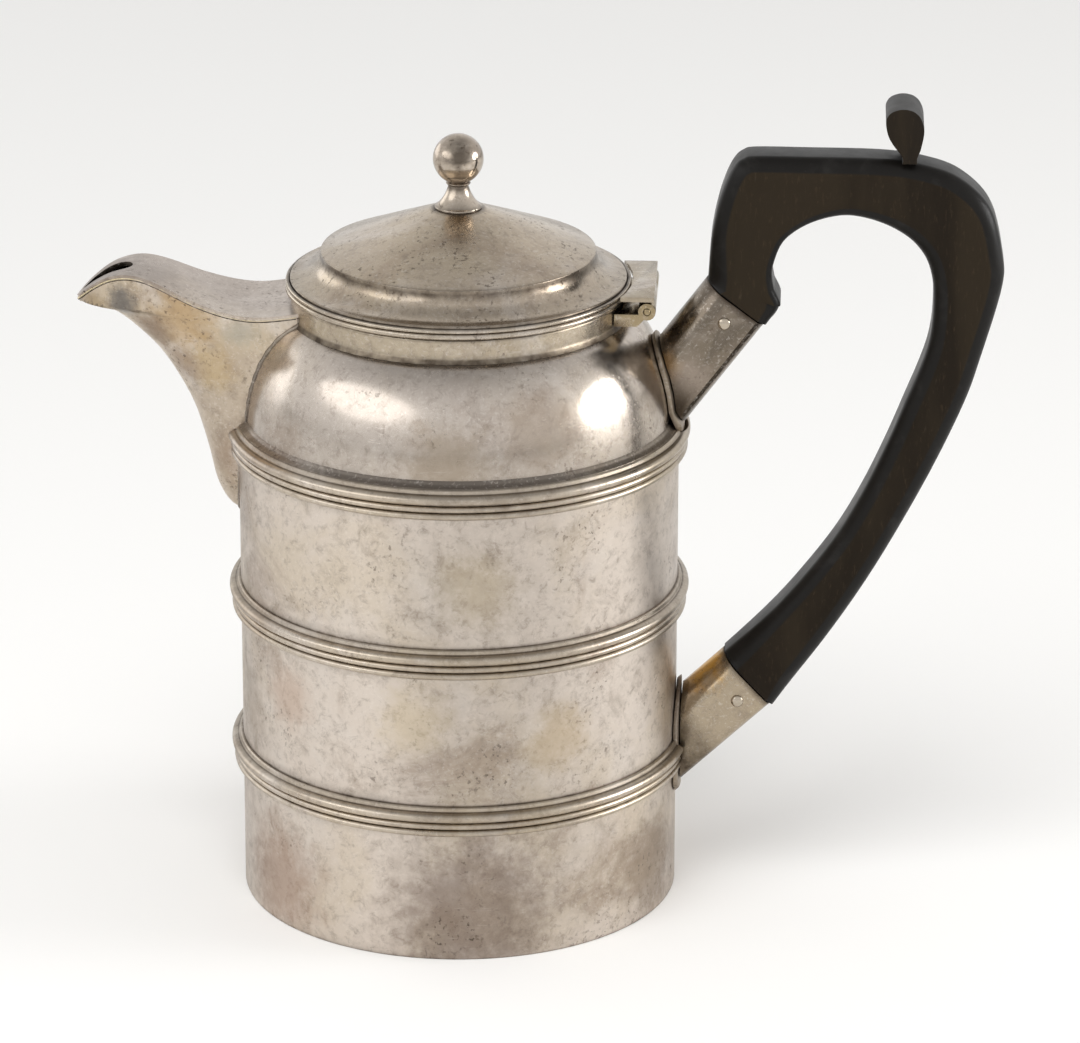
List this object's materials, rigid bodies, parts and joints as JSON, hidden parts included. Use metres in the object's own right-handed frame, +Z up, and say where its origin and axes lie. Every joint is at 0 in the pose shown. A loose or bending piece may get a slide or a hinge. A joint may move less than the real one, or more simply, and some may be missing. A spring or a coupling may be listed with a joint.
{
  "type": "hot water jug",
  "caption": "Small silver hot water jug with reeded bands, a covered spout, a hinged domed lid with a ball finial, and an ebony handle with a thumb piece",
  "frame": {"origin": "centre of the flat underside of the base", "axes": "Z up the axis of the round body, X from the spout at -X to the handle at +X, Y along the hinge pin"},
  "size_m": [0.1691, 0.0852, 0.1525],
  "materials": {
    "aged_silver": "aged silver with a warm grey tarnish, low polish and fine scratches",
    "bright_silver": "silver worn bright by handling",
    "ebony": "near-black ebony, satin, with brown flecks on the flat sides"
  },
  "bodies": {
    "jug": {"body_drum": "aged_silver", "base_plate": "aged_silver", "band_lower": "aged_silver", "band_middle": "aged_silver", "band_upper": "aged_silver", "shoulder": "aged_silver", "neck_collar": "aged_silver", "spout_shell": "aged_silver", "spout_cover": "aged_silver", "socket_upper": "aged_silver", "socket_lower": "aged_silver", "socket_plate_upper": "aged_silver", "socket_plate_lower": "aged_silver", "handle_pin_upper": "bright_silver", "handle_pin_lower": "bright_silver", "handle": "ebony", "thumb_piece": "ebony", "hinge_leaf_body": "aged_silver", "hinge_pin": "bright_silver"},
    "lid": {"lid_cover": "aged_silver", "lid_rim": "aged_silver", "lid_bezel": "aged_silver", "hinge_leaf_lid": "aged_silver", "finial": "bright_silver", "finial_nut": "aged_silver"}
  },
  "joints": [
    {"name": "lid_hinge", "type": "hinge", "parent": "jug", "child": "lid", "pos_m": [0.0347, 0, 0.11545], "axis": [0, 1, 0], "range_deg": [0, 90]}
  ]
}
